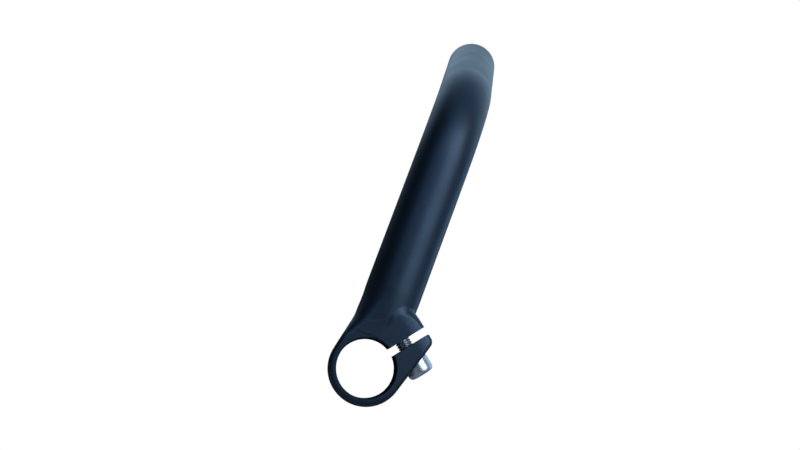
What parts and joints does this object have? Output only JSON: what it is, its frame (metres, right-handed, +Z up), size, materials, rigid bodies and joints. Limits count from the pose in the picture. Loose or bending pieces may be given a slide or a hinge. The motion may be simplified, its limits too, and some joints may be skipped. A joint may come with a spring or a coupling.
{
  "type": "bicycle bar end",
  "caption": "Bent hollow bar end with a flat split clamp ring, side pinch bolt and plugged tip.",
  "frame": {"origin": "centre of the clamp bore, at the middle of the clamp's width", "axes": "+Y along the bore axis, towards the middle of the handlebar; +Z up the straight part of the horn; +X towards the slit and bolt"},
  "size_m": [0.0379, 0.0907, 0.1747],
  "materials": {
    "anodised": "satin black",
    "plug": "matte",
    "screw": "zinc plated"
  },
  "bodies": {
    "root": {"horn_body": "anodised", "end_plug": "plug", "clamp_bolt": "screw"}
  },
  "joints": []
}
